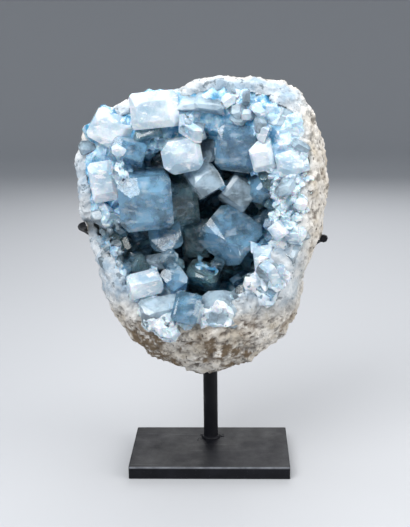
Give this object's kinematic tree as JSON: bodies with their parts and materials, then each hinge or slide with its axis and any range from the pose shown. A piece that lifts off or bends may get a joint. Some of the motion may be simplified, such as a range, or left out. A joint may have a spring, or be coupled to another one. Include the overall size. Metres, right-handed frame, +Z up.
{
  "type": "celestite geode on display stand",
  "caption": "Half geode with a chalky rock rind and a hollow lined with clear blue crystals, held by two bent rods on a post over a flat steel plate.",
  "frame": {"origin": "middle of the base plate's underside", "axes": "+X to the right across the open front, +Y from the open front to the geode's back, +Z up"},
  "size_m": [0.2163, 0.1256, 0.3399],
  "materials": {
    "chalky_rock": "rough, chalky, pitted",
    "celestite": "clear pale blue crystal with flat faces",
    "black_steel": "satin black coating"
  },
  "bodies": {
    "root": {"geode_rind": "chalky_rock", "crystal_crust": "celestite", "base_plate": "black_steel", "post": "black_steel", "left_claw_rod": "black_steel", "right_claw_rod": "black_steel"}
  },
  "joints": []
}
